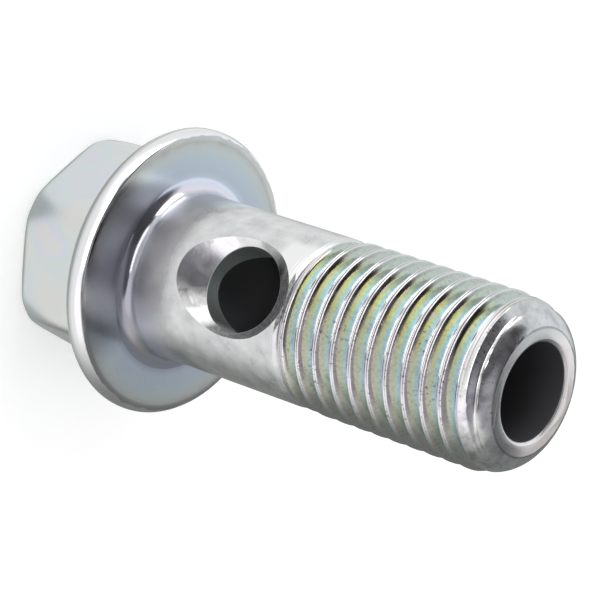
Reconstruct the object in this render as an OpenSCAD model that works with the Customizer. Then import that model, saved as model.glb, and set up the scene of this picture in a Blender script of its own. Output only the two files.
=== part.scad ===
// Banjo bolt: a flanged hexagon bolt with a fine thread. A blind bore runs up its axis
// from the thread end, and a cross hole joins it through the plain shank, so that fluid
// from a ring fitting held under the flange can pass into the threaded port.
// The whole bolt is one forged, drilled and rolled piece. It stands on its head: the
// origin is the middle of the head's outer face and +Z points along the thread.
// All lengths are in millimetres and all angles in degrees.

/* [Head] */
// Width of the hexagon across its flats
head_af = 12; // [11:0.1:13]
// Height of the whole head, from its outer face to the bearing face
head_h = 7.55; // [6.5:0.05:9]
// Angle from the cross hole round to the nearest corner of the hexagon
head_turn = -5; // [-30:1:30]
// Diameter of the flat on the head's outer face
head_flat_d = 11.4; // [9.5:0.1:11.6]
// Height of the bevel round that flat
head_bevel_h = 0.35; // [0.2:0.05:1.2]
// Height over which the corners taper in, below the bevel
corner_taper_h = 3.2; // [1.5:0.1:4]
// Radius along the outer edges of the flats
head_edge_r = 0.5; // [0.1:0.05:1]

/* [Flange] */
// Diameter of the flange
flange_d = 17.1; // [16:0.1:20]
// Thickness of the flange at its edge
flange_edge_h = 1.35; // [1.1:0.05:2]
// Slope of the back of the flange, from its edge up to the hexagon
flange_slope = 20; // [10:1:25]
// Radius of the edge round the bearing face
rim_front_r = 0.32; // [0.1:0.02:0.4]
// Radius of the edge round the back of the flange
rim_back_r = 0.6; // [0.3:0.02:0.7]
// Radius of the fillet between the bearing face and the shank
fillet_r = 1.2; // [0.4:0.1:1.8]

/* [Shank] */
// Diameter of the plain shank
shank_d = 9.88; // [9.8:0.02:10.4]
// Length of the plain shank, from the bearing face to its end bevel
shank_l = 11.35; // [10.5:0.05:13]
// Diameter of the short neck between the shank and the thread
neck_d = 9.1; // [8.8:0.05:9.4]

/* [Thread] */
// Largest diameter of the thread
thread_d = 9.96; // [9.8:0.02:10.3]
// Pitch of the thread
pitch = 1.25; // [1:0.05:1.5]
// Length under the head, from the bearing face to the thread end
bolt_l = 25.7; // [22:0.1:34]
// Distance of the last crest from the thread end, on the side of the cross hole
last_crest = 1.36; // [1:0.02:2.5]
// Diameter of the flat ring on the thread end
end_face_d = 7.1; // [6.8:0.05:7.6]
// Radius of the rounding between that ring and the thread
nose_r = 1.84; // [1.7:0.02:2.4]

/* [Bore] */
// Diameter of the bore along the axis
bore_d = 5.5; // [4:0.1:5.8]
// Depth of the bore at its full diameter, from the thread end
bore_depth = 21; // [20:0.1:22]
// Width of the bevel at the mouth of the bore
bore_bevel = 0.2; // [0.1:0.02:0.5]

/* [Cross hole] */
// Diameter of the cross hole
cross_d = 5; // [3:0.1:5.2]
// Distance of the cross hole's axis from the bearing face
cross_at = 7.65; // [6.8:0.05:7.9]
// Diameter of the countersink, measured level with the shank's surface
countersink_d = 8.2; // [6:0.1:8.4]
// Full angle of the countersink
countersink_angle = 105; // [82:1:120]

/* [Hidden] */
$fn = 96;

// Small overlap that makes a cut run clear of the surface it opens
clear = 0.5;

bearing_z = head_h;
end_z = bearing_z + bolt_l;
shank_end_z = bearing_z + shank_l;
cross_z = bearing_z + cross_at;
shank_r = shank_d / 2;
thread_r = thread_d / 2;
neck_r = neck_d / 2;

// Corners of the hexagon, and how far they are pulled in where the bevel starts
corner_r = head_af / sqrt(3);
corner_pull = 0.48;

// The bevel at the end of the shank stops on a small step, just outside the neck
step_w = 0.06;
shank_bevel = shank_r - neck_r - step_w;
neck_z = shank_end_z + shank_bevel;

// A 60 degree thread: for each point of one pitch, its place along the pitch, from the
// middle of the crest, and its depth below the crest, both in pitches
crest_flat = 1 / 8;
root_flat = 1 / 4;
flank_depth = (1 - crest_flat - root_flat) / 2 * tan(60);
root_depth = flank_depth + 0.07;
profile_at = [-crest_flat / 2, crest_flat / 2, 1 / 2 - root_flat / 2, 1 / 2, 1 / 2 + root_flat / 2];
profile_depth = [0, 0, flank_depth, root_depth, flank_depth];
profile_n = len(profile_at);
thread_sides = 40;
thread_foot_z = neck_z - 0.6;
run_in = 0.7 * pitch;

// The thread's crests fall away to the rounded nose, which ends at the flat ring
nose_drop = 0.14;
nose_mid_r = thread_r - nose_drop - nose_r;
nose_z = end_z - sqrt(nose_r * nose_r - pow(end_face_d / 2 - nose_mid_r, 2));

drill_point = 118;

// Radius to which the nose has trimmed the thread at a height z
function nose_limit(z) =
    z > nose_z ? nose_mid_r + sqrt(max(0, nose_r * nose_r - pow(z - nose_z, 2)))
               : nose_mid_r + nose_r + (nose_z - z) / 3;

// Share of the full thread form reached at a height z, from none at the neck
function formed(z) = min(1, max(0, (z - neck_z) / run_in));

// Radius of the threaded end at a height z, where the plain thread is at a given depth
function threaded_r(z, depth) =
    let (full = min(thread_r - depth * pitch, nose_limit(z)))
    neck_r + (full - neck_r) * formed(z);

// One point of the thread: row counts along the pitches and side goes round the bolt
function thread_point(row, side) =
    let (turn = 360 * side / thread_sides,
         pitches = floor(row / profile_n) + profile_at[row % profile_n] + turn / 360,
         z = min(end_z, max(thread_foot_z, first_crest_z + pitches * pitch)),
         r = threaded_r(z, profile_depth[row % profile_n]))
    [r * cos(turn), r * sin(turn), z];

crests_down = ceil((end_z - last_crest - thread_foot_z) / pitch) + 1;
first_crest_z = end_z - last_crest - crests_down * pitch;
thread_rows = profile_n * (crests_down + ceil(last_crest / pitch + crest_flat / 2) + 1);

// Profile of the flange, bearing face at height 0 and its back rising along +Y
module flange_profile() {
    r = flange_d / 2;
    back_mid = [r - rim_back_r, flange_edge_h - rim_back_r];
    tangent = back_mid + rim_back_r * [sin(flange_slope), cos(flange_slope)];
    polygon([[0, 0], [r - rim_front_r, 0], [r, rim_front_r], [r, back_mid[1]], tangent,
             [0, tangent[1] + tangent[0] * tan(flange_slope)]]);
    translate([r - rim_front_r, rim_front_r])
        circle(r = rim_front_r);
    translate(back_mid)
        circle(r = rim_back_r);
}

// Flange, cut off level with the head's outer face if its cone would pass it
module flange() {
    translate([0, 0, bearing_z])
        mirror([0, 0, 1])
            intersection() {
                rotate_extrude()
                    flange_profile();
                cylinder(r = flange_d, h = head_h - head_bevel_h);
            }
}

// Slab between two opposite flats of the hexagon, with its outer edges rounded
module flats_slab(overlap) {
    half = head_af / 2;
    rotate([90, 0, 0])
        linear_extrude(height = 4 * half, center = true) {
            translate([-half, head_edge_r])
                square([2 * half, overlap - head_edge_r]);
            translate([head_edge_r - half, 0])
                square([2 * (half - head_edge_r), overlap]);
            for (side = [-1, 1])
                translate([side * (half - head_edge_r), head_edge_r])
                    circle(r = head_edge_r);
        }
}

// Hexagon with its corners tapered in and a bevel round its outer face
module hexagon() {
    overlap = head_h - flange_edge_h / 2;
    bevel_r = corner_r - corner_pull;
    intersection() {
        intersection_for(turn = [-60, 0, 60])
            rotate([0, 0, head_turn + 30 + turn])
                flats_slab(overlap);
        rotate_extrude()
            polygon([[0, 0], [head_flat_d / 2, 0], [bevel_r, head_bevel_h],
                     [corner_r, head_bevel_h + corner_taper_h],
                     [corner_r + 1, head_bevel_h + corner_taper_h], [corner_r + 1, overlap],
                     [0, overlap]]);
    }
}

// Profile of the shank with its fillet at the foot, bearing face at height 0
module shank_profile() {
    difference() {
        translate([0, -flange_edge_h / 2])
            square([shank_r + fillet_r, fillet_r + flange_edge_h / 2]);
        translate([shank_r + fillet_r, fillet_r])
            circle(r = fillet_r);
    }
    polygon([[0, 0], [shank_r, 0], [shank_r, shank_l],
             [shank_r - shank_bevel, shank_l + shank_bevel], [0, shank_l + shank_bevel]]);
}

module shank() {
    translate([0, 0, bearing_z])
        rotate_extrude()
            shank_profile();
}

// Neck, rolled thread and rounded nose as one closed skin: rows of points follow the
// helix, and those past either end gather on its flat ends
module threaded_end() {
    points = [for (row = [0:thread_rows], side = [0:thread_sides - 1]) thread_point(row, side)];
    last_row = thread_rows - profile_n;
    function index(row, side) = side < thread_sides ? row * thread_sides + side
                                                    : (row + profile_n) * thread_sides;
    skin = [for (row = [0:last_row - 1], side = [0:thread_sides - 1])
            let (a = index(row, side), b = index(row, side + 1),
                 c = index(row + 1, side + 1), d = index(row + 1, side))
            each [if (points[a] != points[d]) [a, d, b],
                  if (points[b] != points[c]) [b, d, c]]];
    foot = [for (side = [0:thread_sides - 1]) index(0, side)];
    end = [for (side = [thread_sides - 1:-1:0]) index(last_row, side)];
    polyhedron(points = points, faces = concat(skin, [foot, end]), convexity = 8);
}

// Blind bore with its drilled point and the bevel at its mouth
module bore() {
    bore_r = bore_d / 2;
    point_h = bore_r / tan(drill_point / 2);
    translate([0, 0, end_z - bore_depth])
        cylinder(r = bore_r, h = bore_depth + clear);
    translate([0, 0, end_z - bore_depth - point_h])
        cylinder(r1 = 0, r2 = bore_r, h = point_h);
    translate([0, 0, end_z - bore_bevel])
        cylinder(r1 = bore_r, r2 = bore_r + bore_bevel + clear, h = bore_bevel + clear);
}

// Cross hole through both walls, with a countersink at each mouth
module cross_hole() {
    reach = shank_r + clear;
    sink_depth = (countersink_d - cross_d) / 2 / tan(countersink_angle / 2);
    spread = clear * tan(countersink_angle / 2);
    translate([0, 0, cross_z]) {
        rotate([90, 0, 90])
            cylinder(d = cross_d, h = 2 * reach, center = true);
        for (side = [-1, 1])
            rotate([0, 90 * side, 0])
                translate([0, 0, shank_r - sink_depth])
                    cylinder(d1 = cross_d, d2 = countersink_d + 2 * spread, h = sink_depth + clear);
    }
}

module banjo_bolt() {
    color("silver")
        difference() {
            union() {
                hexagon();
                flange();
                shank();
                threaded_end();
            }
            bore();
            cross_hole();
        }
}

banjo_bolt();
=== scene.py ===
# %% [markdown]
# # A banjo bolt in bright zinc plate
# A banjo bolt holds a ring fitting against a threaded port and lets fluid through its own
# shank: a bore runs up its axis, and a countersunk cross hole opens into the ring's channel.
# The real bolt is one piece of steel. Its head is forged, its shank turned, its holes
# drilled, its thread rolled, and the whole of it is plated with zinc and passivated.
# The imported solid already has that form. This scene makes the same bolt again in a finer
# mesh, with the rolled thread's seam and the small roundings of each edge, and gives it
# the thin coloured film of the plating.

import math

import bmesh
import bpy
from mathutils import Matrix, Vector


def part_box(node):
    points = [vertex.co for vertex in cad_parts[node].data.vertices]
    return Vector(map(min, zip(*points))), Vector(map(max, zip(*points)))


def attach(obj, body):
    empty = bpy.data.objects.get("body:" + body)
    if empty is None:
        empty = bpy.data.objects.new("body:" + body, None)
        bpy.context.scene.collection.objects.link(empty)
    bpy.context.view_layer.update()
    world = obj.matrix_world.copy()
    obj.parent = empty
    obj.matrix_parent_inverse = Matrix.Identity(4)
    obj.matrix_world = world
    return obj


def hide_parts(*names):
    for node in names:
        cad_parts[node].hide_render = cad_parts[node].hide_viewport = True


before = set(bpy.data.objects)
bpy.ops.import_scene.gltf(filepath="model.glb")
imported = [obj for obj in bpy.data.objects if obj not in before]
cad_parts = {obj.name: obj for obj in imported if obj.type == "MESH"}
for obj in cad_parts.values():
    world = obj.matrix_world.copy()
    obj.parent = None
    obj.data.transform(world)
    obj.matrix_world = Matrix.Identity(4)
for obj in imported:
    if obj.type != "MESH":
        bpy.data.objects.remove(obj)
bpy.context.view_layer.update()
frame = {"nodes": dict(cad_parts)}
bolt_low, bolt_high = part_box("banjo_bolt")
MM = 0.001
print("packed nodes:", ", ".join(frame["nodes"]))
print("bolt stands from", round(bolt_low[2] / MM, 2), "to", round(bolt_high[2] / MM, 2), "mm")

# %% [markdown]
# ## Sizes
# The mesh is worked in millimetres and turned into metres at the end, because cuts between
# fine meshes are more exact when the numbers are near one. Heights count from the head's
# outer face, where the bolt stands, up to the thread end. The highest one comes from the
# packed bolt's own box, and the others are measured down from it.

# %% Heights in millimetres
tip_z = bolt_high[2] / MM
under_head = 25.7
shank_length = 11.35
shank_bevel = 0.33
cross_hole_at = 7.65
bearing_z = tip_z - under_head
shank_end_z = bearing_z + shank_length
neck_z = shank_end_z + shank_bevel
cross_z = bearing_z + cross_hole_at
print("bearing face at", round(bearing_z, 2), "cross hole at", round(cross_z, 2))

# %% Widths in millimetres
head_turn = math.radians(-5)
apothem = 6.0
flange_r = 8.55
shank_r = 4.94
shoulder_w = 0.17
neck_r = shank_r - shoulder_w
crest_r = 4.98
pitch = 1.25
print("shank", 2 * shank_r, "across, thread", 2 * crest_r, "across, with a pitch of", pitch)

# %% [markdown]
# ## Rings
# The head, flange and shank are one form that starts as a hexagon and ends round. It could
# be a prism joined to a lathed body, but then no edge would melt into the next. Here one
# skin is grown ring by ring: an open edge loop is extruded, and each new point is placed by
# a rule of its angle round the bolt. The same columns of points serve both shapes. They
# crowd together at the corners of the hexagon, where the form changes quickly.

# %% Columns round the bolt
half_flat = [0, 3, 6, 9, 12, 15, 18, 20, 21.5, 22.5, 23.5, 24.5, 25.5, 26.5, 27.5,
             28.4, 29, 29.5]
column_angles = []
for flat in range(6):
    middle = head_turn + math.radians(30 + 60 * flat)
    column_angles += [middle - math.radians(step) for step in [30] + half_flat[:0:-1]]
    column_angles += [middle + math.radians(step) for step in half_flat]
print(len(column_angles), "columns")


# %% Start and grow a skin
def first_ring(bm, radius, height):
    """Start a skin with a small closed loop of edges that has every column's angle."""
    points = [bm.verts.new((radius * math.cos(a), radius * math.sin(a), height))
              for a in column_angles]
    return [bm.edges.new((a, b)) for a, b in zip(points, points[1:] + points[:1])]


def grow_ring(bm, ring, place_at):
    """Extrude a ring of edges and put each new point where place_at(angle) says."""
    made = bmesh.ops.extrude_edge_only(bm, edges=ring)["geom"]
    points = [g for g in made if isinstance(g, bmesh.types.BMVert)]
    for point in points:
        angle = math.atan2(point.co.y, point.co.x)
        radius, height = place_at(angle)
        point.co = (radius * math.cos(angle), radius * math.sin(angle), height)
    return [g for g in made if isinstance(g, bmesh.types.BMEdge)]


# %% [markdown]
# ## The hexagon
# A forged hexagon has no sharp edge anywhere: flats, corners, the turned taper that trims
# the corners and the edge of the outer face all run softly into each other. Bevels of
# different widths would meet badly at the corners. So each of those surfaces gives the
# radius it would allow, and a soft minimum of them is the head's own radius at that angle
# and height.

# %% Sizes of the hexagon
corner_softness = 25
edge_softness = 75
face_edge_r = 0.5
face_r = 5.7
bevel_h = 0.35
bevel_r = 6.42
taper_top_z = 3.55
flat_top_z = 4.6
sharp_corner_r = apothem / math.cos(math.radians(30))
print("sharp corners would reach", round(sharp_corner_r, 2), "mm")


# %% Where on the hexagon, and how two surfaces melt together
def off_flat(angle):
    """Angle from the middle of the nearest flat, 0 to 30 degrees."""
    sixth = math.radians(60)
    return abs((angle - head_turn) % sixth - sixth / 2)


def soft_least(one, other, softness):
    """The lesser of two radii, rounded off where they are nearly the same."""
    return (one ** -softness + other ** -softness) ** (-1 / softness)


# %% The head's radius at an angle and a height
def taper_radius(height):
    """Radius of the turned taper that trims the corners."""
    if height <= bevel_h:
        return face_r + (bevel_r - face_r) * height / bevel_h
    share = (height - bevel_h) / (taper_top_z - bevel_h)
    return bevel_r + (sharp_corner_r - bevel_r) * share


def head_radius(angle, height):
    """Radius of the head at a height above its outer face."""
    drop = max(face_edge_r - height, 0)
    half_width = apothem - face_edge_r + math.sqrt(face_edge_r ** 2 - drop ** 2)
    off = off_flat(angle)
    nearest = half_width / math.cos(off)
    beyond = half_width / math.cos(math.radians(60) - off)
    hexagon = soft_least(nearest, beyond, corner_softness)
    return soft_least(hexagon, taper_radius(height), edge_softness)


def hexagon_radius(angle):
    """Radius of the head just under the flange."""
    return head_radius(angle, flat_top_z)


print("softened corners reach", round(hexagon_radius(head_turn), 2), "mm")

# %% [markdown]
# ## The flange
# The flange is a thin dish: its back slopes down from the hexagon to a rounded rim, and
# its front is the flat bearing face that clamps the sealing washer. A small concave
# radius joins the flats to the slope, as the forging die leaves it. The rim's front edge
# is a narrow worn bevel that catches the light all the way round. A Bevel modifier gives
# one width and one profile, so this edge is drawn as short facets that turn over in steps.

# %% The back of the flange
slope_tilt = math.radians(20)
slope = math.tan(slope_tilt)
rim_height = 1.35
back_round = 0.6
back_middle = (flange_r - back_round, bearing_z - rim_height + back_round)
slope_end = (back_middle[0] + back_round * math.sin(slope_tilt),
             back_middle[1] - back_round * math.cos(slope_tilt))


def slope_height(radius):
    """Height of the flange's back at a radius."""
    return slope_end[1] - (slope_end[0] - radius) * slope


def arc(middle, radius, start, end, steps):
    """Points of an arc, as radius and height; angles in degrees from outwards."""
    turns = [math.radians(start + (end - start) * i / steps) for i in range(steps + 1)]
    return [(middle[0] + radius * math.cos(t), middle[1] + radius * math.sin(t)) for t in turns]


print("flange slopes from", round(slope_height(apothem), 2), "to", round(slope_end[1], 2))

# %% The rim, as lengths and tilts of the facets on its front edge
bevel_steps = ((0.1, 4), (0.1, 11), (0.08, 18), (0.06, 25), (0.1, 28), (0.1, 30), (0.06, 33),
               (0.03, 45), (0.03, 60), (0.03, 75))
bevel_rise = sum(length * math.cos(math.radians(tilt)) for length, tilt in bevel_steps)
rim = arc(back_middle, back_round, -70, 0, 8)
rim.append((flange_r, bearing_z - bevel_rise))
for length, tilt in bevel_steps:
    rim.append((rim[-1][0] - length * math.sin(math.radians(tilt)),
                rim[-1][1] + length * math.cos(math.radians(tilt))))
print("the bevel takes", round(flange_r - rim[-1][0], 2), "mm off the bearing face")

# %% [markdown]
# ## The shank
# The shank is turned smooth between a fillet, which keeps the flange from cracking off, and
# a rounded shoulder down to the neck of the thread. It is drawn as a lathe would cut it, as
# an outline of radius and height, so that the same skin can simply go on growing along it.

# %% Shank outline, as radius and height
fillet_r = 0.85
face_rings = 6
face_step = 0.35
shank_rings = 30
shank_outline = [(rim[-1][0] - face_step * i, bearing_z) for i in range(1, face_rings + 1)]
fillet_middle = (shank_r + fillet_r, bearing_z + fillet_r)
shank_outline += arc(fillet_middle, fillet_r, -90, -180, 16)
shank_top = shank_end_z - 0.1
for row in range(1, shank_rings + 1):
    height = fillet_middle[1] + (shank_top - fillet_middle[1]) * row / shank_rings
    shank_outline.append((shank_r, height))
shoulder = ((0.012, 0.03), (0.035, 0.1), (0.07, 0.19), (0.12, 0.27))
shank_outline += [(shank_r - inward, shank_end_z + up) for inward, up in shoulder]
shank_outline.append((neck_r, neck_z))
print(len(shank_outline), "rings on the bearing face and shank")

# %% Where the rings between the hexagon and the rim go
die_radius_drop = 0.18
die_radius_out = 0.19


def up_the_flat(angle, share):
    """A place on the flats above their last level ring, up to the die's radius."""
    radius = hexagon_radius(angle)
    rise = slope_height(radius) - (flat_top_z + die_radius_drop)
    return radius, flat_top_z + rise * share


def in_the_corner(angle, out, below):
    """A place in the die's radius, out from the flat and below the slope."""
    radius = hexagon_radius(angle) + out
    return radius, slope_height(radius) - below


def down_the_slope(angle, share):
    """A place on the flange's back, from the die's radius to the rim."""
    start = hexagon_radius(angle) + die_radius_out
    radius = start + (slope_end[0] - start) * share
    return radius, slope_height(radius)


# %% Grow the head, flange and shank
flat_heights = (0.015, 0.04, 0.08, 0.13, 0.19, 0.26, 0.35, 0.45, 0.6, 0.8, 1.05, 1.35, 1.7,
                2.05, 2.4, 2.75, 3.1, 3.4, 3.7, 4.0, 4.3, flat_top_z)
corner_places = ((0.015, 0.1), (0.05, 0.045), (0.11, 0.01), (die_radius_out, 0))


def grow_body(bm):
    """Grow the whole skin from the outer face up, and close both its ends."""
    ring = first_ring(bm, 0.5, 0)
    bmesh.ops.contextual_create(bm, geom=ring)
    for share in (0.4, 0.8, 0.97, 1):
        ring = grow_ring(bm, ring, lambda a: (head_radius(a, 0) * share, 0))
    for height in flat_heights:
        ring = grow_ring(bm, ring, lambda a: (head_radius(a, height), height))
    for share in (0.35, 0.7, 1):
        ring = grow_ring(bm, ring, lambda a: up_the_flat(a, share))
    for out, below in corner_places:
        ring = grow_ring(bm, ring, lambda a: in_the_corner(a, out, below))
    for share in (0.3, 0.6, 0.85):
        ring = grow_ring(bm, ring, lambda a: down_the_slope(a, share))
    for radius, height in rim + shank_outline:
        ring = grow_ring(bm, ring, lambda a: (radius, height))
    bmesh.ops.contextual_create(bm, geom=ring)


# %% Keep a skin as an object
def as_object(name, bm):
    """Merge a bmesh's doubles, turn its faces outwards and keep it as an object."""
    bmesh.ops.remove_doubles(bm, verts=bm.verts, dist=0.0005)
    bmesh.ops.recalc_face_normals(bm, faces=bm.faces)
    mesh = bpy.data.meshes.new(name)
    bm.to_mesh(mesh)
    bm.free()
    made = bpy.data.objects.new(name, mesh)
    bpy.context.scene.collection.objects.link(made)
    print(name, len(mesh.polygons), "faces")
    return made


body_bm = bmesh.new()
grow_body(body_bm)
body_skin = as_object("body_skin", body_bm)

# %% [markdown]
# ## The rolled thread
# Rolling pushes the metal up from the roots until the two flanks meet at the crest, and it
# leaves a fine seam along the top. Stacked rings would look like a thread from far off, but
# the light would not climb from turn to turn. So one pitch of that section is drawn as a
# chain of edges and spun up the axis as a screw. Each turn's upper edge lies on the next
# one's lower edge, so merging the doubles gives one helical skin.

# %% One pitch of the thread, from root to root, as pitches along and millimetres deep
half_section = [(0, 0.030), (0.014, 0.027), (0.028, 0.010), (0.038, 0.001), (0.046, 0),
                (0.072, 0), (0.084, 0.004), (0.096, 0.014), (0.108, 0.030), (0.120, 0.055),
                (0.15, 0.120), (0.2, 0.228), (0.25, 0.336), (0.3, 0.445), (0.34, 0.531),
                (0.375, 0.602), (0.405, 0.654), (0.44, 0.694), (0.47, 0.713), (0.5, 0.720)]
section = [(-at, depth) for at, depth in half_section[:0:-1]] + half_section
last_crest_z = tip_z - 1.33
turns_up = 2
turns_down = 11
turn_steps = 108
print("the thread is", half_section[-1][1], "mm deep")

# %% [markdown]
# The screw has no end of its own. Each point is pulled in to the rounded nose at the tip,
# and to the neck at the foot, where a real thread's form also fades out over less than a
# turn. Then both ends are cut level with a plane.

# %% Nose and run-in
end_face_r = 3.55
nose_r = 1.84
nose_middle_r = crest_r - 0.14 - nose_r
nose_z = tip_z - math.sqrt(nose_r ** 2 - (end_face_r - nose_middle_r) ** 2)
nose_fade = 3
crest_run_in = 0.7 * pitch
root_run_in = 0.4 * crest_run_in


def nose_limit(height):
    """Radius that the rounded nose leaves at a height."""
    if height <= nose_z:
        return nose_middle_r + nose_r + (nose_z - height) / nose_fade
    return nose_middle_r + math.sqrt(max(nose_r ** 2 - (height - nose_z) ** 2, 0))


def trim_thread(point):
    """Pull a point of the endless screw in to the nose, and to the neck at its foot."""
    radius = point.co.xy.length
    height = min(point.co.z, tip_z)
    full = min(radius, nose_limit(height))
    run_in = crest_run_in if full > neck_r else root_run_in
    formed = min(max((height - neck_z) / run_in, 0), 1)
    point.co.xy *= (neck_r + (full - neck_r) * formed) / radius


print("the nose starts at", round(nose_z, 2), "mm")


# %% Cut a skin level
def cut_flat(bm, height, keep_below):
    """Cut a bmesh level, drop one side and close the cut."""
    whole = list(bm.verts) + list(bm.edges) + list(bm.faces)
    made = bmesh.ops.bisect_plane(bm, geom=whole, dist=1e-5, plane_co=(0, 0, height),
                                  plane_no=(0, 0, 1), clear_outer=keep_below,
                                  clear_inner=not keep_below)["geom_cut"]
    edges = [g for g in made if isinstance(g, bmesh.types.BMEdge)]
    bmesh.ops.contextual_create(bm, geom=edges)


# %% Spin the thread
thread_bm = bmesh.new()
start_z = last_crest_z - turns_down * pitch
chain = [thread_bm.verts.new((crest_r - depth, 0, start_z + at * pitch))
         for at, depth in section]
chain_edges = [thread_bm.edges.new(pair) for pair in zip(chain, chain[1:])]
turns = turns_down + turns_up
bmesh.ops.spin(thread_bm, geom=chain + chain_edges, cent=(0, 0, 0), axis=(0, 0, 1),
               dvec=(0, 0, pitch / turn_steps), angle=math.tau * turns,
               steps=turns * turn_steps)
bmesh.ops.remove_doubles(thread_bm, verts=thread_bm.verts, dist=0.002)
print("thread reaches", round(max(v.co.z for v in thread_bm.verts), 2), "mm")
for point in thread_bm.verts:
    trim_thread(point)
cut_flat(thread_bm, tip_z, keep_below=True)
cut_flat(thread_bm, neck_z - 0.4, keep_below=False)
thread_skin = as_object("thread_skin", thread_bm)

# %% [markdown]
# ## The drilled holes
# The bore and the cross hole are cutters: profiles lathed round an axis, then taken away
# from the bolt as a drill would. The countersink's edge on the round shank is a curve that
# is awkward to draw by hand, and cutting gives it exactly.


# %% Lathe a cutter from its outline
def lathe(name, outline, steps):
    """Spin an outline of radius and height once round the axis."""
    bm = bmesh.new()
    points = [bm.verts.new((radius, 0, height)) for radius, height in outline]
    edges = [bm.edges.new(pair) for pair in zip(points, points[1:])]
    bmesh.ops.spin(bm, geom=points + edges, cent=(0, 0, 0), axis=(0, 0, 1),
                   angle=math.tau, steps=steps, use_merge=True)
    return as_object(name, bm)


# %% The bore, with its drilled point and rounded mouth
bore_r = 2.75
bore_depth = 21
half_point = math.radians(59)
mouth_r = 0.22
past_tip = 0.3
bore_foot = tip_z - bore_depth
bore_point = bore_foot - bore_r / math.tan(half_point)
mouth = arc((bore_r + mouth_r, tip_z - mouth_r), mouth_r, 180, 95, 4)
bore_outline = [(0, bore_point), (bore_r, bore_foot)] + mouth
bore_outline += [(bore_r + mouth_r, tip_z + past_tip), (0, tip_z + past_tip)]
bore_cutter = lathe("bore_cutter", bore_outline, 128)

# %% The cross hole, with a countersink at each end
cross_r = 2.5
sink_r = 4.1
past_shank = 0.9
sink_rise = 1 / math.tan(math.radians(52.5))
sink_foot = shank_r - (sink_r - cross_r) * sink_rise
half_outline = [(cross_r, sink_foot), (sink_r + past_shank, shank_r + past_shank * sink_rise)]
cross_outline = [(0, -half_outline[1][1])] + [(r, -h) for r, h in half_outline[::-1]]
cross_outline += half_outline + [(0, half_outline[1][1])]
cross_cutter = lathe("cross_cutter", cross_outline, 160)

# %% [markdown]
# A countersink held by hand chatters and leaves a few broad facets instead of a true cone.
# Between two facet edges the cone's points are drawn in part of the way to a straight
# chord. Then the cutter is laid on its side, at the height of the cross hole.

# %% Facets of the countersink, between edges at these angles
facet_edges = [-92, -56, -21, 36, 81, 130, 180, 230, 268]
facet_share = 0.3
for point in cross_cutter.data.vertices:
    at = (math.degrees(math.atan2(point.co.y, point.co.x)) + 92) % 360 - 92
    for start, end in zip(facet_edges, facet_edges[1:]):
        if point.co.xy.length > cross_r + 0.1 and start <= at < end:
            half = math.radians(end - start) / 2
            off = math.radians(at - (start + end) / 2)
            point.co.xy *= 1 - facet_share * (1 - math.cos(half) / math.cos(off))
cross_cutter.data.transform(Matrix.Translation((0, 0, cross_z)) @
                            Matrix.Rotation(math.pi / 2, 4, "Y"))
print(len(facet_edges) - 1, "facets round each countersink")

# %% [markdown]
# ## One bolt
# Three Boolean modifiers in a row join the thread to the shank and take the two holes away.
# The exact solver is slow but leaves no gap, which a closed skin needs. The result is read
# back once, brought to metres, and kept as one finished mesh with nothing live on it.

# %% Join the thread to the shank and drill the bolt
for cutter, operation in ((thread_skin, "UNION"), (bore_cutter, "DIFFERENCE"),
                          (cross_cutter, "DIFFERENCE")):
    cut = body_skin.modifiers.new(cutter.name, "BOOLEAN")
    cut.object = cutter
    cut.operation = operation
    cut.solver = "EXACT"
shaped = body_skin.evaluated_get(bpy.context.evaluated_depsgraph_get())
bolt_bm = bmesh.new()
bolt_bm.from_mesh(shaped.to_mesh())
for helper in (body_skin, thread_skin, bore_cutter, cross_cutter):
    bpy.data.objects.remove(helper)

# %% Finish the bolt's mesh
bmesh.ops.remove_doubles(bolt_bm, verts=bolt_bm.verts, dist=0.0005)
bmesh.ops.scale(bolt_bm, vec=(MM, MM, MM), verts=bolt_bm.verts)
bolt_mesh = bpy.data.meshes.new("zinc_bolt")
bolt_bm.to_mesh(bolt_mesh)
open_edges = sum(not e.is_manifold for e in bolt_bm.edges)
bolt_bm.free()
bolt_mesh.shade_smooth()
bolt_mesh.set_sharp_from_angle(angle=math.radians(32))
zinc_bolt = bpy.data.objects.new("zinc_bolt", bolt_mesh)
bpy.context.scene.collection.objects.link(zinc_bolt)
print("bolt has", len(bolt_mesh.polygons), "faces and", open_edges, "open edges")

# %% [markdown]
# ## Zinc plate
# Bright zinc is a satin metal. The passivation on it is a film thinner than light's own
# waves, so it shows lavender, blue and straw where its thickness changes. A thin-film
# shader would turn its colours with the eye, and most of that is lost in an export. So the
# colours are laid by place, as shares from 0 to 1 that mix one tone over another: by
# height, by distance from the axis, and along the helix.

# %% Zinc plate material
zinc = bpy.data.materials.new("zinc_plated_steel")
zinc.use_nodes = True
nodes, links = zinc.node_tree.nodes, zinc.node_tree.links
shader = nodes["Principled BSDF"]


def feed(socket, value):
    """Put a number, a colour or another node's output into a socket."""
    if isinstance(value, bpy.types.NodeSocket):
        links.new(value, socket)
    elif isinstance(value, tuple) and socket.type == "RGBA":
        socket.default_value = (*value, 1)
    else:
        socket.default_value = value


# %% Arithmetic on numbers and outputs
def reckon(operation, *values):
    """One Math node on numbers or outputs."""
    node = nodes.new("ShaderNodeMath")
    node.operation = operation
    for socket, value in zip(node.inputs, values):
        feed(socket, value)
    return node.outputs[0]


def where_all(*shares):
    """1 only where every share is 1: their product."""
    product = shares[0]
    for share in shares[1:]:
        product = reckon("MULTIPLY", product, share)
    return product


# %% Shares that rise, fall or mark a band
def soft_step(value, low, high):
    """0 at low and 1 at high, with a soft rise; low may be the greater of the two."""
    node = nodes.new("ShaderNodeMapRange")
    node.interpolation_type = "SMOOTHSTEP"
    feed(node.inputs["Value"], value)
    node.inputs["From Min"].default_value = low
    node.inputs["From Max"].default_value = high
    return node.outputs["Result"]


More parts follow.
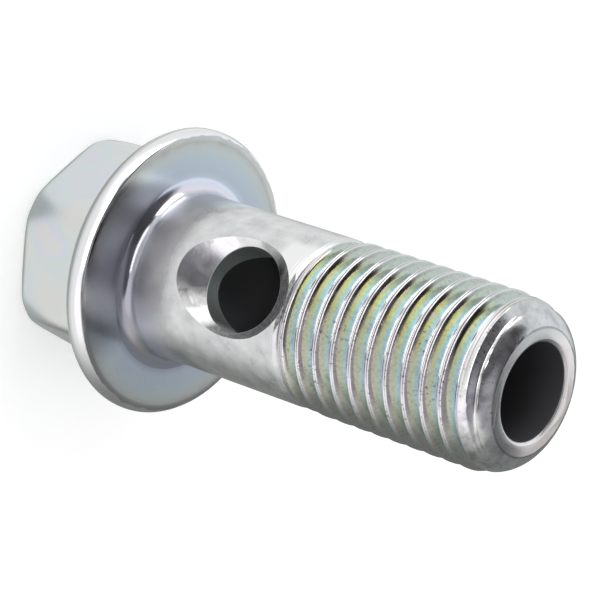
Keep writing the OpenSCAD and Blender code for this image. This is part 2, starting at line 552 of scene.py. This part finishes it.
def band(value, low, high, edge):
    """1 between low and high, 0 outside, with soft edges."""
    return where_all(soft_step(value, low - edge, low + edge),
                     soft_step(value, high + edge, high - edge))


# %% Tones that mix or multiply
def lay_over(share, under, over, kind="RGBA"):
    """Mix two colours, or two numbers, by a share."""
    node = nodes.new("ShaderNodeMix")
    node.data_type = kind
    feed(node.inputs["Factor"], share)
    feed(node.inputs["A"], under)
    feed(node.inputs["B"], over)
    return node.outputs["Result"]


def tint(under, share, strength, over):
    """Lay a colour over another where a share says, but only to a strength."""
    return lay_over(reckon("MULTIPLY", share, strength), under, over)


def times(one, other):
    """Multiply two colours."""
    node = nodes.new("ShaderNodeVectorMath")
    node.operation = "MULTIPLY"
    feed(node.inputs[0], one)
    feed(node.inputs[1], other)
    return node.outputs[0]


# %% A row of colours
def color_row(value, low, high, stops):
    """Colours along a value from low to high, each stop at its own value."""
    node = nodes.new("ShaderNodeValToRGB")
    feed(node.inputs["Fac"], reckon("DIVIDE", reckon("SUBTRACT", value, low), high - low))
    marks = node.color_ramp.elements
    places = [(at - low) / (high - low) for at, color in stops]
    marks[0].position, marks[1].position = places[0], places[-1]
    for at in places[1:-1]:
        marks.new(at)
    for mark, (at, color) in zip(marks, stops):
        mark.color = (*color, 1)
    return node.outputs["Color"]


# %% [markdown]
# ## Places on the bolt
# The finish needs to know where it is: how high, how far from the axis, how far from the
# cross hole's axis, and how far round. Painted masks or an unwrapped skin would do, but a
# helix unwraps badly. Object coordinates give all of it exactly, once they are brought to
# millimetres. Four clouds of noise, from broad to grain, break every edge up a little.

# %% Millimetres along each axis
in_metres = nodes.new("ShaderNodeTexCoord").outputs["Object"]
enlarge = nodes.new("ShaderNodeVectorMath")
enlarge.operation = "SCALE"
links.new(in_metres, enlarge.inputs[0])
enlarge.inputs["Scale"].default_value = 1 / MM
place = enlarge.outputs[0]
apart = nodes.new("ShaderNodeSeparateXYZ")
links.new(place, apart.inputs[0])
across, aside, height = apart.outputs


def distance(one, other):
    """Length of the line with two sides at right angles."""
    square = reckon("MULTIPLY", one, one)
    return reckon("SQRT", reckon("MULTIPLY_ADD", other, other, square))


def cloud(scale, detail=2):
    """Noise between about 0 and 1; scale is in patches a millimetre."""
    node = nodes.new("ShaderNodeTexNoise")
    links.new(place, node.inputs["Vector"])
    node.inputs["Scale"].default_value = scale
    node.inputs["Detail"].default_value = detail
    return node.outputs["Fac"]


# %% Distances, turns and clouds
from_axis = distance(across, aside)
from_cross_axis = distance(aside, reckon("SUBTRACT", height, cross_z))

# Turns round the bolt, from -0.5 to 0.5, with 0 over the cross hole.
turn = reckon("DIVIDE", reckon("ARCTAN2", aside, across), math.tau)
broad = cloud(0.35)
middling = cloud(1.1, 3)
fine = cloud(5, 3)
grain = cloud(14, 2)
print(len(nodes), "nodes measure the bolt")

# %% Shares for each part of the bolt
in_bore = soft_step(from_axis, bore_r + 0.06, bore_r + 0.02)
in_drill = where_all(soft_step(from_cross_axis, cross_r + 0.05, cross_r + 0.01),
                     soft_step(from_axis, shank_r - 0.44, shank_r - 0.64))
in_sink = where_all(soft_step(from_cross_axis, sink_r + 0.1, sink_r),
                    soft_step(from_axis, shank_r - 0.01, shank_r - 0.03))
flange_foot_z = bearing_z - 0.65
on_head = soft_step(height, flange_foot_z + 0.05, flange_foot_z - 0.3)
on_flange = band(height, flange_foot_z, bearing_z + 0.82, 0.12)
on_fillet = band(from_axis, shank_r + 0.02, shank_r + fillet_r + 0.06, 0.1)
on_thread = where_all(soft_step(height, neck_z - 0.1, neck_z + 0.25),
                      soft_step(height, tip_z - 1.05, tip_z - 1.4))
on_end = soft_step(height, tip_z - 1.5, tip_z - 1.1)
print(len(nodes), "nodes once each part is marked")

# %% [markdown]
# ## Head and shank
# The head's plate is clean, with broad drifts of straw and blue. The shank's is duller and
# cloudier, with painted shade near the flange, darkest on one side, and a few small stains
# round the cross hole. Both are rows of colour along a cloud, which gives drifts with no edges.

# %% Film on the head and shank, with painted shade near the flange
head_film = color_row(broad, 0.25, 0.75, [
    (0.27, (0.81, 0.79, 0.76)), (0.42, (0.78, 0.79, 0.77)), (0.52, (0.73, 0.79, 0.80)),
    (0.61, (0.76, 0.77, 0.83)), (0.73, (0.79, 0.79, 0.77))])
shank_film = color_row(middling, 0.3, 0.7, [
    (0.32, (0.66, 0.66, 0.67)), (0.45, (0.74, 0.74, 0.75)), (0.55, (0.78, 0.78, 0.78)),
    (0.68, (0.85, 0.85, 0.84))])
# Painted shade: the shank is laid darker near the flange, most of all on one side.
by_fillet = soft_step(height, bearing_z + 4.0, bearing_z + 1.8)
painted_flange_shade = lay_over(band(turn, -0.33, -0.12, 0.03), (0.70, 0.68, 0.71), (0.42, 0.41, 0.42))
shank_film = tint(shank_film, by_fillet, 0.85, painted_flange_shade)
stains = where_all(soft_step(fine, 0.39, 0.36), soft_step(middling, 0.46, 0.42),
                   soft_step(height, cross_z - 1, cross_z))
shank_film = tint(shank_film, stains, 0.5, (0.30, 0.30, 0.29))
tone = lay_over(on_head, shank_film, head_film)
print(len(nodes), "nodes with the head and shank")

# %% [markdown]
# ## Bearing face and fillet
# On the flat face the film changes from the middle out: straw and lavender in the fillet,
# blue further out, grey at the worn rim. So its row of colours runs along the distance
# from the axis, and the cloud lets the rings wander as a real film does. A sector of the
# face is painted dark, as painted shade in place of a dark reflection.

# %% Film on the bearing face, with a painted dark sector
wandering = reckon("MULTIPLY_ADD", reckon("SUBTRACT", middling, 0.5), 0.4, from_axis)
face_film = color_row(wandering, 4.9, 8.7, [
    (4.95, (0.60, 0.59, 0.61)), (5.05, (0.70, 0.67, 0.70)), (5.2, (0.80, 0.75, 0.80)),
    (5.4, (0.74, 0.72, 0.80)), (5.65, (0.72, 0.77, 0.87)), (6.3, (0.75, 0.81, 0.90)),
    (6.9, (0.75, 0.84, 0.90)), (7.4, (0.80, 0.85, 0.84)), (7.7, (0.80, 0.81, 0.77)),
    (8.0, (0.68, 0.68, 0.64)), (8.22, (0.58, 0.58, 0.55)), (8.3, (0.90, 0.90, 0.91)),
    (8.6, (0.88, 0.88, 0.88))])
# Painted shade: a dark sector of the bearing face, standing in for a dark reflection.
painted_dark_sector = where_all(band(turn, -0.075, 0.15, 0.03), soft_step(from_axis, 8.2, 7.9))
face_film = tint(face_film, painted_dark_sector, 0.8, (0.33, 0.34, 0.38))
tone = lay_over(on_flange, tone, face_film)
print(len(nodes), "nodes with the bearing face")

# %% [markdown]
# ## Thread
# In the thread the bath drained unevenly, and each turn carries a whole row of colours from
# crest to root. The height, less the part of a turn gone round, is a number that stays the
# same all along the helix. Its fraction is the phase, 0 on a crest and 0.5 in a root, and
# two rows of colours run along it: a strong one near the cross hole's side, which also
# holds a painted shadow just past each crest, and a quiet one everywhere else.

# %% Phase along the pitch
wobble = reckon("MULTIPLY", reckon("SUBTRACT", middling, 0.5), 0.07)
along = reckon("DIVIDE", reckon("SUBTRACT", height, last_crest_z), pitch)
along = reckon("SUBTRACT", along, turn)
phase = reckon("FRACT", reckon("ADD", along, wobble))
crest_phase = reckon("FRACT", along)
print("colours follow a helix that climbs", pitch, "mm a turn")

# %% Rows of colour across one turn
# The strong row's near-black stops just past the crest are painted shade, a dark reflection
# under each crest.
strong_row_with_shade = [
    (0.115, (0.74, 0.70, 0.68)), (0.135, (0.12, 0.11, 0.09)), (0.175, (0.15, 0.14, 0.08)),
    (0.210, (0.74, 0.70, 0.34)), (0.27, (0.75, 0.80, 0.50)), (0.31, (0.68, 0.84, 0.72)),
    (0.355, (0.50, 0.76, 0.92)), (0.40, (0.64, 0.80, 1.0)), (0.45, (0.92, 0.90, 0.98)),
    (0.54, (0.90, 0.78, 0.90)), (0.64, (0.62, 0.82, 0.90)), (0.76, (0.74, 0.76, 0.52)),
    (0.88, (0.72, 0.70, 0.56)), (0.94, (0.80, 0.78, 0.80))]
quiet_row = [
    (0.115, (0.80, 0.76, 0.77)), (0.145, (0.74, 0.68, 0.62)), (0.175, (0.70, 0.66, 0.56)),
    (0.23, (0.69, 0.70, 0.58)), (0.29, (0.70, 0.76, 0.64)), (0.35, (0.62, 0.76, 0.76)),
    (0.40, (0.62, 0.74, 0.80)), (0.46, (0.78, 0.79, 0.86)), (0.54, (0.82, 0.75, 0.80)),
    (0.66, (0.64, 0.73, 0.76)), (0.78, (0.70, 0.71, 0.62)), (0.94, (0.76, 0.75, 0.76))]
lively = where_all(band(turn, -0.15, 0.0, 0.05), soft_step(middling, 0.35, 0.55),
                   soft_step(height, neck_z + 0.25, neck_z + 0.45))
thread_film = lay_over(lively, color_row(phase, 0, 1, quiet_row),
                       color_row(phase, 0, 1, strong_row_with_shade))
print(len(strong_row_with_shade), "strong and", len(quiet_row), "quiet colours a turn")

# %% [markdown]
# Shade is painted under the crests on one side and deep in the roots on the other. Towards
# the sides and behind, the thread is painted a darker grey-green as shade. Fine mottling
# and a few black pits lie over all of it.

# %% Painted shade and pits in the thread
# Painted shadow: a dark line just past each crest, on one side of the thread.
painted_crest_shadow = where_all(band(phase, 0.135, 0.185, 0.015), band(turn, -0.17, -0.01, 0.03))
thread_film = tint(thread_film, painted_crest_shadow, 0.7, (0.15, 0.14, 0.12))
# Painted shade: blue-grey darkness deep in the roots, on the other side of the thread.
painted_root_shade = where_all(band(phase, 0.37, 0.50, 0.03), band(turn, 0.04, 0.3, 0.03))
thread_film = tint(thread_film, painted_root_shade, 0.75, (0.40, 0.50, 0.57))
# Painted shade: the thread, its crests and the nose are laid darker grey-green towards the
# sides and behind.
low_side = reckon("MULTIPLY", soft_step(turn, 0.08, 0.2), 0.4)
painted_side_shade = reckon("ADD", soft_step(turn, -0.10, -0.15), low_side)
behind = reckon("ADD", soft_step(turn, -0.36, -0.42), soft_step(turn, 0.34, 0.42))
painted_side_shade = reckon("MULTIPLY", painted_side_shade, reckon("SUBTRACT", 1, behind))
painted_side_shade = reckon("MULTIPLY_ADD", behind, soft_step(broad, 0.6, 0.4), painted_side_shade)
thread_film = tint(thread_film, painted_side_shade, 0.7, (0.46, 0.51, 0.47))
mottled = color_row(fine, 0.3, 0.7, [
    (0.34, (0.86, 0.85, 0.83)), (0.42, (0.96, 0.96, 0.95)), (0.5, (1.0, 1.0, 1.0)),
    (0.68, (1.05, 1.05, 1.04))])
thread_film = times(thread_film, mottled)
pitted = where_all(soft_step(fine, 0.385, 0.35), soft_step(broad, 0.5, 0.6),
                   band(turn, -0.04, 0.12, 0.03))
thread_film = tint(thread_film, pitted, 0.7, (0.10, 0.09, 0.08))
print(len(nodes), "nodes with the thread's flanks")

# %% [markdown]
# The crests are rubbed bright, and bruised dark in spots on one side, and painted shade
# dims them towards the sides. The seam that rolling leaves along their middle is painted
# dark as shade where the thread faces up.

# %% Crests and their seam
on_crest = reckon("ADD", soft_step(crest_phase, 0.125, 0.105),
                  soft_step(crest_phase, 0.88, 0.90))
bruised = color_row(fine, 0.3, 0.7, [
    (0.34, (0.36, 0.33, 0.31)), (0.39, (0.88, 0.84, 0.85)), (0.6, (0.95, 0.92, 0.94)),
    (0.68, (0.84, 0.80, 0.83))])
crest_tone = lay_over(band(turn, 0.0, 0.42, 0.03), (0.90, 0.88, 0.90), bruised)
# Painted shade dims the crests towards the sides, and more on the lower side.
crest_tone = tint(crest_tone, painted_side_shade, 0.45, (0.50, 0.54, 0.50))
crest_tone = tint(crest_tone, band(turn, 0.15, 0.32, 0.05), 0.8, (0.52, 0.56, 0.53))
thread_film = lay_over(on_crest, thread_film, crest_tone)
# Painted shade: the crest seam is laid dark where the thread faces up.
painted_seam_shade = reckon("ADD", soft_step(crest_phase, 0.028, 0.018),
                 soft_step(crest_phase, 0.972, 0.982))
painted_seam_shade = where_all(painted_seam_shade, band(turn, -0.2, 0.06, 0.06),
                    soft_step(height, neck_z + 0.7, neck_z + 1.1))
thread_film = tint(thread_film, painted_seam_shade, 0.8, (0.26, 0.20, 0.22))
tone = lay_over(on_thread, tone, thread_film)
print(len(nodes), "nodes with the crests")

# %% [markdown]
# ## Thread end
# The nose is turned, not rolled, so its plate is cloudier and holds specks of dirt, and it
# takes painted shade towards its sides. The flat ring at the mouth carries painted light: pale
# and warm on one side, greyer on the other, with a thin dark line where it turns into the
# nose. That line is a band of distance from the axis.

# %% Film on the nose
end_film = color_row(middling, 0.3, 0.7, [
    (0.34, (0.50, 0.49, 0.49)), (0.44, (0.72, 0.71, 0.71)), (0.52, (0.84, 0.83, 0.82)),
    (0.66, (0.95, 0.94, 0.93))])
specks = where_all(soft_step(fine, 0.39, 0.35), soft_step(middling, 0.48, 0.58))
end_film = tint(end_film, specks, 0.75, (0.16, 0.15, 0.14))
end_film = tint(end_film, painted_side_shade, 0.5, (0.50, 0.50, 0.49))
print(len(nodes), "nodes with the nose")

# %% Painted light on the ring at the mouth
on_mouth = where_all(soft_step(from_axis, end_face_r + 0.05, end_face_r - 0.02),
                     soft_step(height, tip_z - 0.08, tip_z - 0.03))
# Painted light and shade across the mouth's ring: pale and warm on one side, grey on the other.
painted_mouth_light = color_row(across, -4, 4, [
    (-3.0, (0.99, 0.94, 0.92)), (-1.2, (0.94, 0.89, 0.87)), (0.8, (0.68, 0.67, 0.65)),
    (3.0, (0.58, 0.57, 0.56))])
end_film = lay_over(on_mouth, end_film, times(painted_mouth_light, lay_over(0.7, end_film, (1, 1, 1))))
mouth_edge = band(from_axis, end_face_r - 0.02, end_face_r + 0.10, 0.03)
end_film = tint(end_film, mouth_edge, 0.6, (0.22, 0.21, 0.20))
tone = lay_over(on_end, tone, end_film)
print(len(nodes), "nodes with the thread end")

# %% [markdown]
# ## Holes
# Plating is thin inside a hole. The countersink's tone steps from grey to near white in
# Voronoi cells, whose sharp edges look hammered, and it grows brighter towards its two sides
# as painted reflections on its facets. Its side next to the thread is painted near black as
# shade, and a painted highlight lies on the shank above the hole. The cross hole's wall is
# dull, and the bore is painted almost black as shade.

# %% Tone of the countersink, with a painted highlight on the shank above it
# Painted highlight: a near-white patch on the shank above the cross hole.
painted_highlight_patch = where_all(band(height, cross_z + 1.9, shank_end_z + 0.2, 0.35),
                    band(turn, -0.125, -0.035, 0.012))
tone = lay_over(painted_highlight_patch, tone, (0.99, 0.99, 0.98))
cells = nodes.new("ShaderNodeTexVoronoi")
cells.inputs["Scale"].default_value = 0.95
links.new(place, cells.inputs["Vector"])
cell_shades = nodes.new("ShaderNodeSeparateColor")
links.new(cells.outputs["Color"], cell_shades.inputs["Color"])
# Brighter towards the countersink's two sides: painted reflections on its facets, over the
# hammered cell tone.
off_middle = reckon("SQRT", reckon("MULTIPLY", aside, aside))
facet = reckon("MULTIPLY", cell_shades.outputs["Red"], 0.4)
facet = reckon("MULTIPLY_ADD", off_middle, 0.32, facet)
facet = reckon("MULTIPLY_ADD", reckon("SUBTRACT", middling, 0.5), 0.5, facet)
sink_tone = color_row(facet, -0.2, 1.4, [
    (0.0, (0.40, 0.39, 0.40)), (0.4, (0.50, 0.49, 0.50)), (0.7, (0.76, 0.75, 0.75)),
    (1.0, (0.98, 0.98, 0.97))])
tone = lay_over(in_sink, tone, sink_tone)
print(len(nodes), "nodes with the countersink")

# %% Painted shade in the countersink and the bore, and the cross hole's wall
# Painted shade: the countersink's side next to the thread is laid near black.
painted_sink_shade = reckon("ADD", reckon("SUBTRACT", height, cross_z), aside)
painted_sink_shade = where_all(in_sink, soft_step(painted_sink_shade, 0.6, 1.8))
shade_tone_in_sink = color_row(fine, 0.3, 0.7, [
    (0.35, (0.12, 0.12, 0.12)), (0.5, (0.20, 0.20, 0.205)), (0.65, (0.27, 0.27, 0.28))])
tone = lay_over(painted_sink_shade, tone, shade_tone_in_sink)
tone = lay_over(in_drill, tone, (0.44, 0.48, 0.46))
# Painted shade: the inside of the bore is laid almost black.
tone = lay_over(in_bore, tone, (0.038, 0.038, 0.042))
links.new(tone, shader.inputs["Base Color"])

# %% [markdown]
# Where shade is painted into the bore and the countersink's side by the thread, and light
# onto one side of the mouth, Metallic comes down, and the surface takes light from all sides
# as paint would. That keeps the bore dark from every side, and the mouth pale.

# %% How metallic each part is
# The painted pale side of the mouth shines less as metal, so it stays pale from every side.
painted_pale_mouth = where_all(on_mouth, soft_step(across, 0.5, -2.0))
dull_metal = reckon("MULTIPLY_ADD", painted_sink_shade, 0.7, in_bore)
dull_metal = reckon("MULTIPLY_ADD", painted_pale_mouth, 0.55, dull_metal)
links.new(reckon("SUBTRACT", 1, dull_metal), shader.inputs["Metallic"])
print(len(nodes), "nodes with the holes")

# %% [markdown]
# ## Sheen and relief
# How sharply zinc mirrors tells the eye how it was worked: rolled thread and pressed flange
# are nearly polished, turned shank and drilled walls are matt. One roughness for all would
# look like plastic. The relief is only a few thousandths of a millimetre, a grain and the
# lathe's rings at the shoulder, so it is left to a Bump node; every larger form is mesh.

# %% How rough each part is
near_fillet = where_all(soft_step(height, bearing_z + 0.45, bearing_z + 0.85),
                        soft_step(height, bearing_z + 3.6, bearing_z + 2.0))
rough = lay_over(on_head, 0.2, 0.24, "FLOAT")
for share, roughness in (
        (on_flange, 0.17), (where_all(on_flange, on_fillet), 0.13), (near_fillet, 0.38),
        (band(height, shank_end_z, neck_z, 0.05), 0.32), (on_thread, 0.13), (on_end, 0.18),
        (in_sink, 0.22), (in_drill, 0.5), (in_bore, 0.6)):
    rough = lay_over(share, rough, roughness, "FLOAT")
uneven = reckon("MULTIPLY_ADD", reckon("SUBTRACT", middling, 0.5), 0.12, rough)
links.new(reckon("MAXIMUM", uneven, 0.08), shader.inputs["Roughness"])

# %% Fine relief of the plate, in millimetres
relief = reckon("MULTIPLY", grain, 0.0010)
smooth_side = reckon("MAXIMUM", on_thread, on_flange)
relief = reckon("MULTIPLY_ADD", fine, lay_over(smooth_side, 0.003, 0.0012, "FLOAT"), relief)
ring_spacing = 0.21
rings = reckon("SINE", reckon("MULTIPLY", height, math.tau / ring_spacing))
at_shoulder = band(height, shank_end_z - 0.45, neck_z + 0.5, 0.1)
relief = reckon("MULTIPLY_ADD", rings, reckon("MULTIPLY", at_shoulder, 0.004), relief)
bump = nodes.new("ShaderNodeBump")
bump.inputs["Distance"].default_value = MM
links.new(relief, bump.inputs["Height"])
links.new(bump.outputs["Normal"], shader.inputs["Normal"])
print(len(nodes), "nodes in all")

# %% Put the plate on the bolt and the bolt on its body
zinc_bolt.data.materials.append(zinc)
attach(zinc_bolt, "root")
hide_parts("banjo_bolt")

# %% [markdown]
# ## Floor
# The bolt stands on white paper, which catches its soft shadow. The paper glows a little
# for the camera alone, so that it runs into the white behind it without more light on the
# bolt.

# %% Floor
floor_bm = bmesh.new()
bmesh.ops.create_grid(floor_bm, x_segments=1, y_segments=1, size=2)
floor_mesh = bpy.data.meshes.new("floor")
floor_bm.to_mesh(floor_mesh)
floor_bm.free()
floor = bpy.data.objects.new("floor", floor_mesh)
bpy.context.scene.collection.objects.link(floor)
floor.visible_glossy = False

# %% White paper
paper = bpy.data.materials.new("white_paper")
paper.use_nodes = True
paper_nodes, paper_links = paper.node_tree.nodes, paper.node_tree.links
paper_shader = paper_nodes["Principled BSDF"]
paper_shader.inputs["Base Color"].default_value = (0.9, 0.9, 0.9, 1)
paper_shader.inputs["Roughness"].default_value = 0.9
paper_shader.inputs["Specular IOR Level"].default_value = 0
paper_shader.inputs["Emission Color"].default_value = (1, 1, 1, 1)
paper_path = paper_nodes.new("ShaderNodeLightPath")
paper_glow = paper_nodes.new("ShaderNodeMath")
paper_glow.operation = "MULTIPLY"
paper_glow.inputs[1].default_value = 0.3
paper_links.new(paper_path.outputs["Is Camera Ray"], paper_glow.inputs[0])
paper_links.new(paper_glow.outputs[0], paper_shader.inputs["Emission Strength"])
floor.data.materials.append(paper)

# %% [markdown]
# ## The room in the metal
# Bare metal shows what stands round it, so the room matters as much as the plate. It is a
# small pale studio: grey below, bright cloth to both sides of the camera, a dark ceiling
# over them and a dim end behind the bolt. It could be built of panels, but panels cast
# shadows and need many samples. So the room is painted into the world, as soft round
# patches, for reflections only. Seen straight on the world is plain white, and it lights
# dull surfaces evenly, so a colour comes out about as it is written.

# %% World
world = bpy.data.worlds.new("studio")
bpy.context.scene.world = world
world.use_nodes = True
room_nodes, room_links = world.node_tree.nodes, world.node_tree.links
background = room_nodes["Background"]
room_way = room_nodes.new("ShaderNodeTexCoord").outputs["Generated"]
room_path = room_nodes.new("ShaderNodeLightPath")
print("the world is called", world.name)


# %% A patch of colour on the room's walls
def direction(azimuth, elevation):
    """Unit vector towards a place round the bolt, in degrees from +X and above level."""
    a, e = math.radians(azimuth), math.radians(elevation)
    return Vector((math.cos(a) * math.cos(e), math.sin(a) * math.cos(e), math.sin(e)))


def room_patch(under, azimuth, elevation, inner, outer, color):
    """Lay a soft round patch of colour over the room, between two angles from its middle."""
    aligned = room_nodes.new("ShaderNodeVectorMath")
    aligned.operation = "DOT_PRODUCT"
    aligned.inputs[1].default_value = direction(azimuth, elevation)
    room_links.new(room_way, aligned.inputs[0])
    edge = room_nodes.new("ShaderNodeMapRange")
    edge.interpolation_type = "SMOOTHSTEP"
    edge.inputs["From Min"].default_value = math.cos(math.radians(outer))
    edge.inputs["From Max"].default_value = math.cos(math.radians(inner))
    room_links.new(aligned.outputs["Value"], edge.inputs["Value"])
    lay = room_nodes.new("ShaderNodeMix")
    lay.data_type = "RGBA"
    room_links.new(edge.outputs["Result"], lay.inputs["Factor"])
    if isinstance(under, tuple):
        lay.inputs["A"].default_value = (*under, 1)
    else:
        room_links.new(under, lay.inputs["A"])
    lay.inputs["B"].default_value = (*color, 1)
    return lay.outputs["Result"]


# %% Paint the room, each patch as azimuth, elevation, inner and outer angle and colour
dim_end = ((150, -5, 22, 80, (0.20, 0.21, 0.20)), (160, 30, 22, 45, (0.20, 0.21, 0.22)))
window = ((-140, 22, 24, 42, (0.90, 0.95, 1.0)),)
bright_cloths = ((50, 12, 14, 32, (1.16, 1.12, 1.20)), (-50, 0, 14, 36, (1.16, 1.16, 1.17)))
dark_ceiling = ((-40, 72, 38, 48, (0.09, 0.09, 0.10)), (25, 47, 22, 30, (0.15, 0.15, 0.17)),
                (80, 72, 12, 30, (0.34, 0.34, 0.38)), (-45, 28, 5, 14, (0.08, 0.08, 0.08)))
grey_below = ((0, -90, 34, 43, (0.42, 0.44, 0.44)), (165, -56, 8, 18, (0.66, 0.68, 0.67)))
patches = dim_end + window + bright_cloths + dark_ceiling + grey_below
room = (0.87, 0.88, 0.88)
for patch in patches:
    room = room_patch(room, *patch)
print(len(patches), "patches in the room")


# %% Let reflections see the room, and the camera plain white
def seen_by(rays, others, sight):
    """A colour that only one kind of ray sees, and what the others see."""
    choice = room_nodes.new("ShaderNodeMix")
    choice.data_type = "RGBA"
    room_links.new(room_path.outputs[rays], choice.inputs["Factor"])
    for socket, color in ((choice.inputs["A"], others), (choice.inputs["B"], sight)):
        if isinstance(color, tuple):
            socket.default_value = (*color, 1)
        else:
            room_links.new(color, socket)
    return choice.outputs["Result"]


seen = seen_by("Is Glossy Ray", (0.8, 0.8, 0.8), room)
seen = seen_by("Is Camera Ray", seen, (1, 1, 1))
room_links.new(seen, background.inputs["Color"])

# %% [markdown]
# ## Lamps
# Two large soft boxes stand half a metre away, a wide low one under the camera and one
# round to the side. Small lamps would leave hard sparks on every crest, while a wide box
# draws one clean line along it.


# %% Soft boxes
def soft_box(name, azimuth, elevation, width, height, brightness):
    """A soft box half a metre away that faces the bolt's middle."""
    lamp = bpy.data.lights.new(name, "AREA")
    lamp.shape = "RECTANGLE"
    lamp.size, lamp.size_y = width, height
    lamp.energy = brightness * math.pi * width * height
    made = bpy.data.objects.new(name, lamp)
    back = direction(azimuth, elevation)
    made.location = Vector((0, 0, 0.015)) + back * 0.5
    made.rotation_mode = "QUATERNION"
    made.rotation_quaternion = back.to_track_quat("Z", "Y")
    made.visible_camera = False
    bpy.context.scene.collection.objects.link(made)
    print(name, "stands", round(made.location.z, 2), "m high")


soft_box("key_box", -7, 20, 0.52, 0.14, 1.9)
soft_box("side_box", -75, 17, 0.36, 0.22, 1.9)

# %% [markdown]
# ## Camera
# The camera looks down on the thread end past the cross hole, and is rolled until the
# standing bolt lies across its view. A long lens from 17 cm away keeps some depth: the
# near end is seen larger than the far one.

# %% Camera
camera_data = bpy.data.cameras.new("camera")
camera_data.lens = 177.8
camera_data.sensor_width = 36
camera_data.clip_start = 0.01
camera_data.clip_end = 20
camera = bpy.data.objects.new("camera", camera_data)
aim = Vector((0.05, -0.709, 16.341)) * MM
back = direction(4.0, 37.914)
roll = math.radians(108.543)
from_aim = 167.5
camera.location = aim + back * from_aim * MM
camera.rotation_mode = "QUATERNION"
upright = back.to_track_quat("Z", "Y").to_matrix()
camera.rotation_quaternion = (upright @ Matrix.Rotation(roll, 3, "Z")).to_quaternion()
bpy.context.scene.collection.objects.link(camera)
bpy.context.scene.camera = camera
bpy.context.scene.view_settings.view_transform = "Standard"
print("camera stands", round((camera.location - aim).length / MM, 1), "mm from its aim")
